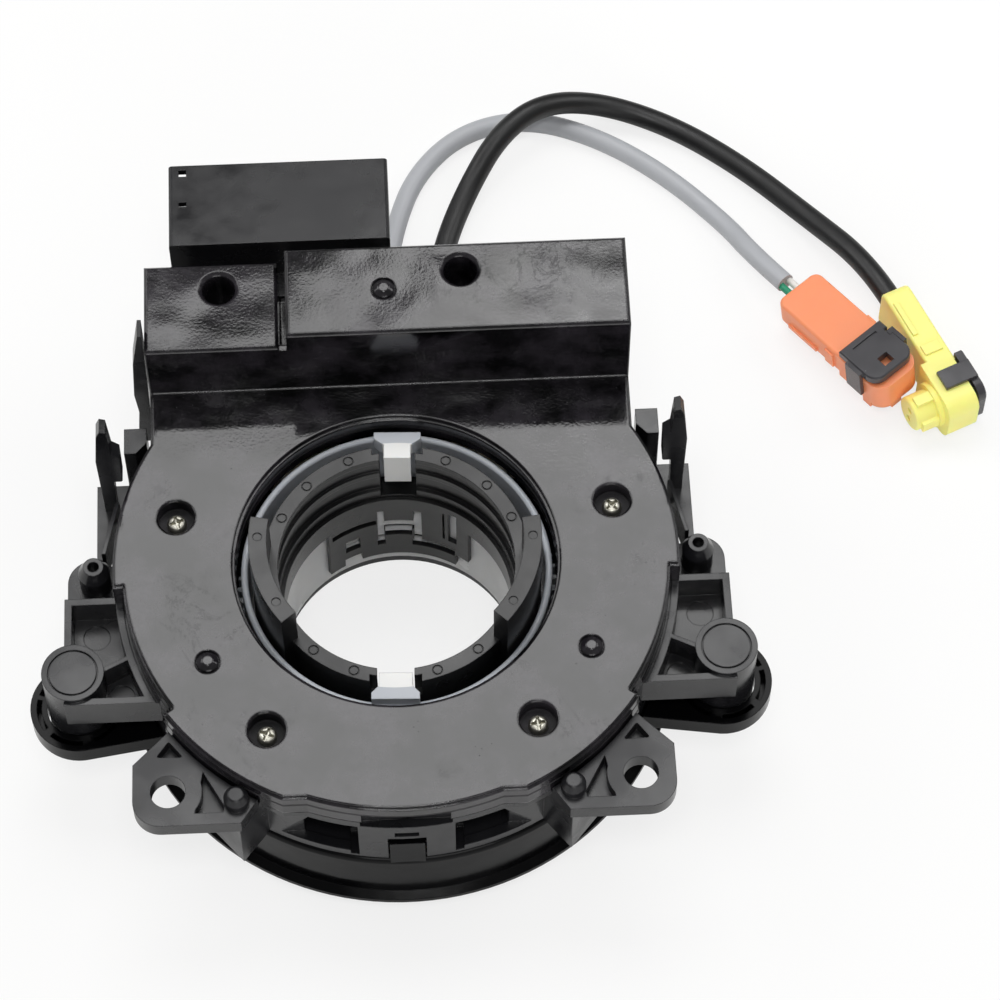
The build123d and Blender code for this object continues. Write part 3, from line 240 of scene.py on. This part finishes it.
# The edges are slightly rounded, the sink marks bend what the gloss mirrors, and the peel breaks up
# its borders.
rounded = add(tree, "Bevel", {"Radius": EDGE_MM / 1000}, samples=8)
depth = add(tree, "MapRange", {"Value": height.outputs["Z"], "From Min": PLATE_TOP,
                               "From Max": PLATE_TOP + BLOCK_RISE, "To Min": PLATE_SINK_DEPTH_MM / 1000,
                               "To Max": BLOCK_SINK_DEPTH_MM / 1000})
sink = add(tree, "TexNoise", {"Vector": place, "Scale": 1000 / SINK_MM, "Detail": 1.2, "Roughness": 0.45})
sunk = add(tree, "Bump", {"Height": sink.outputs["Fac"], "Strength": 1.0, "Distance": depth.outputs[0],
                          "Normal": rounded.outputs[0]})
peel = add(tree, "TexNoise", {"Vector": place, "Scale": 1000 / PEEL_MM, "Detail": 2.0})
peeled = add(tree, "Bump", {"Height": peel.outputs["Fac"], "Strength": 1.0, "Distance": PEEL_DEPTH_MM / 1000,
                            "Normal": sunk.outputs[0]})

# Wiping leaves a slight haze in wide patches and thin dull smears where it is thickest.
wiped = add(tree, "TexNoise", {"Vector": place, "Scale": 1000 / WIPE_MM, "Detail": 5.0, "Roughness": 0.6})
hazy = add(tree, "MapRange", {"Value": wiped.outputs["Fac"], "From Min": 0.35, "From Max": 0.7,
                              "To Min": 0.05, "To Max": 0.14})
smear = add(tree, "TexNoise", {"Vector": place, "Scale": 1000 / SMEAR_MM, "Detail": 6.0, "Roughness": 0.72,
                               "Distortion": 1.2})
ridge = add(tree, "Math", {0: smear.outputs["Fac"], 1: 0.5, 2: 0.012}, operation="COMPARE")
patchy = add(tree, "MapRange", {"Value": wiped.outputs["Fac"], "From Min": 0.5, "From Max": 0.6,
                                "To Min": 0.0, "To Max": 0.13})
wisp = add(tree, "Math", {0: ridge.outputs[0], 1: patchy.outputs[0]}, operation="MULTIPLY")
dull = add(tree, "Math", {0: hazy.outputs[0], 1: wisp.outputs[0]}, operation="ADD")

# Dust settles as rare grey specks and a thin bloom.
specks = add(tree, "TexVoronoi", {"Vector": place, "Scale": 1000 / SPECK_MM}, feature="F1")
where = add(tree, "TexNoise", {"Vector": place, "Scale": 1000 / SPECK_PATCH_MM, "Detail": 2.0})
rare = add(tree, "MapRange", {"Value": where.outputs["Fac"], "From Min": 0.5, "From Max": 0.72,
                              "To Min": 0.02, "To Max": 0.09})
speck = add(tree, "Math", {0: specks.outputs["Distance"], 1: rare.outputs[0]}, operation="LESS_THAN")
cloud = add(tree, "TexNoise", {"Vector": place, "Scale": 1000 / BLOOM_MM, "Detail": 9.0, "Roughness": 0.68})
bloom = add(tree, "MapRange", {"Value": cloud.outputs["Fac"], "From Min": 0.42, "From Max": 0.68,
                               "To Min": 0.0, "To Max": 1.0})
dusty = add(tree, "MixRGB", {"Fac": bloom.outputs[0], "Color1": linear(COVER_BLACK),
                             "Color2": linear(COVER_BLOOM)})
tone = add(tree, "MixRGB", {"Fac": speck.outputs[0], "Color1": dusty.outputs[0],
                            "Color2": linear(SPECK_GREY)})
rough = add(tree, "MixRGB", {"Fac": speck.outputs[0], "Color1": dull.outputs[0], "Color2": SPECK_ROUGHNESS})
level = add(tree, "Math", {0: height.outputs["Z"], 1: WELL_FLOOR, 2: WELL_FLOOR_BAND}, operation="COMPARE")
matt = add(tree, "MixRGB", {"Fac": level.outputs[0], "Color1": rough.outputs[0], "Color2": WELL_ROUGHNESS})
skin = add(tree, "BsdfPrincipled", {"Base Color": tone.outputs[0], "Roughness": matt.outputs[0], "IOR": 1.5,
                                   "Normal": peeled.outputs[0]})
add(tree, "OutputMaterial", {"Surface": skin.outputs[0]})
finish(gloss_abs, "sensor_cover")


# The housing that carries the sensor, and the rotor's disc, are black PBT with glass fibre, moulded
# in a spark-eroded mould. That gives a dense grain, a satin gloss in patches and soft edges.
def moulded(name, colour, roughness, grain_mm, grain_depth_mm, edge_mm=0.25, ior=1.5, haze=0.08, lift=0.25):
    """A moulded plastic with its grain, soft edges, patchy gloss and slight bloom."""
    flow_mm = 11.0
    flow_depth_mm = 0.12
    patch_mm = 24.0
    material, tree = blank(name)
    place = add(tree, "TexCoord").outputs["Object"]
    soft = add(tree, "Bevel", {"Radius": edge_mm / 1000}, samples=4)
    flow = add(tree, "TexNoise", {"Vector": place, "Scale": 1000 / flow_mm, "Detail": 2.0})
    flowed = add(tree, "Bump", {"Height": flow.outputs["Fac"], "Strength": 1.0,
                                "Distance": flow_depth_mm / 1000, "Normal": soft.outputs[0]})
    grain = add(tree, "TexNoise", {"Vector": place, "Scale": 1000 / grain_mm, "Detail": 2.0})
    bump = add(tree, "Bump", {"Height": grain.outputs["Fac"], "Strength": 1.0,
                              "Distance": grain_depth_mm / 1000, "Normal": flowed.outputs[0]})
    patch = add(tree, "TexNoise", {"Vector": place, "Scale": 1000 / patch_mm, "Detail": 4.0, "Roughness": 0.6})
    dull = add(tree, "MapRange", {"Value": patch.outputs["Fac"], "From Min": 0.35, "From Max": 0.65,
                                  "To Min": roughness - haze / 2, "To Max": roughness + haze})
    tone = add(tree, "MixRGB", {"Fac": patch.outputs["Fac"], "Color1": linear(colour),
                                "Color2": [c * (1.0 + lift) for c in linear(colour)[:3]] + [1.0]})
    skin = add(tree, "BsdfPrincipled", {"Base Color": tone.outputs[0], "Roughness": dull.outputs[0], "IOR": ior,
                                       "Normal": bump.outputs[0]})
    add(tree, "OutputMaterial", {"Surface": skin.outputs[0]})
    return material


satin_pbt = moulded("black_pbt_spark_eroded_mould", "#070708", 0.22, 0.5, 0.006, ior=1.43, haze=0.16, lift=8.0)
finish(satin_pbt, "stator_housing", "rotor_disc")

# The lower case closes the spring chamber and snaps on with three tongues. It is the same PBT from a
# polished mould, so it is smooth and darker, and mirrors softly.
finish(moulded("black_pbt_polished_mould", "#060607", 0.15, 0.8, 0.003, ior=1.2), "lower_case")

# The sleeve and its insert turn with the wheel and rub on the ring, so they are black acetal, which
# slides dry. Moulded, it has a waxy half gloss.
finish(moulded("black_acetal_moulded", "#0e0e0f", 0.3, 0.5, 0.006), "rotor_sleeve", "hub_insert")


# The toothed ring, the guide ring and the gears are acetal too, which is milky in its depth and waxy
# on its skin. All are in its natural white, but the ring's collar is given a grey that is painted shade.
def milky(name, colour, roughness, depth_mm):
    """An acetal: moulded, with light that spreads a little under its skin."""
    material = moulded(name, colour, roughness, 0.6, 0.004, edge_mm=0.3, ior=1.48, lift=0.05)
    skin = material.node_tree.nodes["Principled BSDF"]
    skin.inputs["Subsurface Weight"].default_value = 0.6
    skin.inputs["Subsurface Radius"].default_value = (1.0, 0.95, 0.85)
    skin.inputs["Subsurface Scale"].default_value = depth_mm / 1000
    return material


finish(milky("white_acetal_moulded", "#fdfcfa", 0.2, 4.0), "guide_ring")
finish(milky("ivory_acetal_moulded", "#ece8dc", 0.42, 2.0), "pickup_gear_a", "pickup_gear_b")

# The ring is driven by the sleeve through two keys, which lie in its slots. Keys and collar are one
# white acetal; the collar's grey is painted shade, so the colour changes to the keys' white inside its radius.
# The collar colour below is painted shade for the gap under the cover; the keys' colour is the acetal's own.
RING_PAINTED_SHADE = "#b4b8be"
KEY_PALE = "#e2e2e0"
KEY_RADIUS = 0.0278
ring_acetal_painted_shade = milky("acetal_painted_shade_moulded", RING_PAINTED_SHADE, 0.3, 0.8)
tree = ring_acetal_painted_shade.node_tree
place = add(tree, "TexCoord").outputs["Object"]
flat = add(tree, "VectorMath", {0: place, 1: (1.0, 1.0, 0.0)}, operation="MULTIPLY")
radius = add(tree, "VectorMath", {0: flat.outputs["Vector"]}, operation="LENGTH")
inner = add(tree, "Math", {0: radius.outputs["Value"], 1: KEY_RADIUS}, operation="LESS_THAN")
# Painted shade: outside the keys' radius the ring is given the grey collar colour.
tone = add(tree, "MixRGB", {"Fac": inner.outputs[0], "Color1": linear(RING_PAINTED_SHADE), "Color2": linear(KEY_PALE)})
tree.links.new(tone.outputs[0], tree.nodes["Principled BSDF"].inputs["Base Color"])
finish(ring_acetal_painted_shade, "sensor_ring")

# The plugs are nylon in the colours of their circuits, orange and yellow, moulded with a dry satin
# skin that lets a little light in. Their push-in locks are black nylon, with a brighter gloss.
orange_nylon = moulded("orange_nylon_moulded", "#f8976a", 0.36, 0.5, 0.006, lift=0.1)
yellow_nylon = moulded("yellow_nylon_moulded", "#faf38c", 0.36, 0.5, 0.006, lift=0.1)
for nylon in (orange_nylon, yellow_nylon):
    skin = nylon.node_tree.nodes["Principled BSDF"]
    skin.inputs["Subsurface Weight"].default_value = 0.35
    skin.inputs["Subsurface Radius"].default_value = (1.0, 0.5, 0.25)
    skin.inputs["Subsurface Scale"].default_value = 0.0012
finish(orange_nylon, "orange_plug")
finish(yellow_nylon, "yellow_plug")
finish(moulded("black_nylon_moulded", "#3a393c", 0.24, 0.4, 0.01), "orange_lock", "yellow_lock")

# Two thin wires leave the grey sheath and enter the orange plug. Their coats are drawn vinyl like the
# sheath, in green and white.
finish(drawn_vinyl("green_vinyl_drawn", "#1f8f6a", 0.4), "green_wire")
finish(drawn_vinyl("white_vinyl_drawn", "#e4e4e0", 0.4), "white_wire")


# The cover screws are steel, headed and thread-rolled, with a bright zinc coat that is a little
# frosted. The contacts in the two sockets are brass with a smoother coat of tin.
def plated(name, colour, roughness, frost_mm):
    """A metal coat with a fine frost that dulls and darkens it in spots."""
    frost_depth_mm = 0.005
    edge_mm = 0.15
    material, tree = blank(name)
    place = add(tree, "TexCoord").outputs["Object"]
    soft = add(tree, "Bevel", {"Radius": edge_mm / 1000}, samples=4)
    frost = add(tree, "TexNoise", {"Vector": place, "Scale": 1000 / frost_mm, "Detail": 3.0})
    bump = add(tree, "Bump", {"Height": frost.outputs["Fac"], "Strength": 1.0,
                              "Distance": frost_depth_mm / 1000, "Normal": soft.outputs[0]})
    stain = add(tree, "MapRange", {"Value": frost.outputs["Fac"], "From Min": 0.3, "From Max": 0.7,
                                   "To Min": roughness - 0.08, "To Max": roughness + 0.12})
    tone = add(tree, "MixRGB", {"Fac": frost.outputs["Fac"], "Color1": linear(colour),
                                "Color2": [0.55 * c for c in linear(colour)[:3]] + [1.0]})
    skin = add(tree, "BsdfPrincipled", {"Base Color": tone.outputs[0], "Metallic": 1.0,
                                       "Roughness": stain.outputs[0], "Normal": bump.outputs[0]})
    add(tree, "OutputMaterial", {"Surface": skin.outputs[0]})
    return material


finish(plated("zinc_plated_steel", "#d2d0c4", 0.42, 0.7), "cover_screws")
finish(plated("tin_plated_brass", "#d8d8d4", 0.22, 0.4), "socket_pins", "switch_pins")

# The sensor board is glass-fibre laminate under green solder mask, a half-glossy lacquer. Its copper
# tracks show through as lighter lines. It lies on four pegs under the cover.
TRACK_MM = 6.0
mask, tree = blank("green_solder_mask")
place = add(tree, "TexCoord").outputs["Object"]
tracks = add(tree, "TexBrick", {"Vector": place, "Scale": 1000 / TRACK_MM, "Color1": linear("#12402a"),
                                "Color2": linear("#144a30"), "Mortar": linear("#2c7a4c"),
                                "Mortar Size": 0.03})
skin = add(tree, "BsdfPrincipled", {"Base Color": tracks.outputs[0], "Roughness": 0.28, "IOR": 1.5})
add(tree, "OutputMaterial", {"Surface": skin.outputs[0]})
finish(mask, "sensor_board")

# The chips and the small parts on the board are moulded in black epoxy, which is matt. The magnets
# pressed into the gears are sintered ferrite, dark grey and dry like stone.
finish(moulded("black_epoxy_moulded", "#151516", 0.5, 0.3, 0.01), "hall_sensors", "board_parts")
finish(moulded("dark_ferrite_sintered", "#2b2a29", 0.55, 0.25, 0.012), "gear_magnet_a", "gear_magnet_b")

# The flat cable is clear polyester film over a row of copper strips, wound on edge in the chamber.
# The film is glossy, and the strips make it amber with pale gaps between them, 2 mm apart.
STRIP_MM = 2.0
film, tree = blank("amber_polyester_film")
place = add(tree, "TexCoord").outputs["Object"]
strips = add(tree, "TexWave", {"Vector": place, "Scale": 1000 / STRIP_MM / 20, "Distortion": 0.0},
             wave_type="BANDS", bands_direction="Z")
tone = add(tree, "MixRGB", {"Fac": strips.outputs["Fac"], "Color1": linear("#b9722f"),
                            "Color2": linear("#d9c9a4")})
skin = add(tree, "BsdfPrincipled", {"Base Color": tone.outputs[0], "Roughness": 0.2, "IOR": 1.6})
add(tree, "OutputMaterial", {"Surface": skin.outputs[0]})
finish(film, "flat_cable")
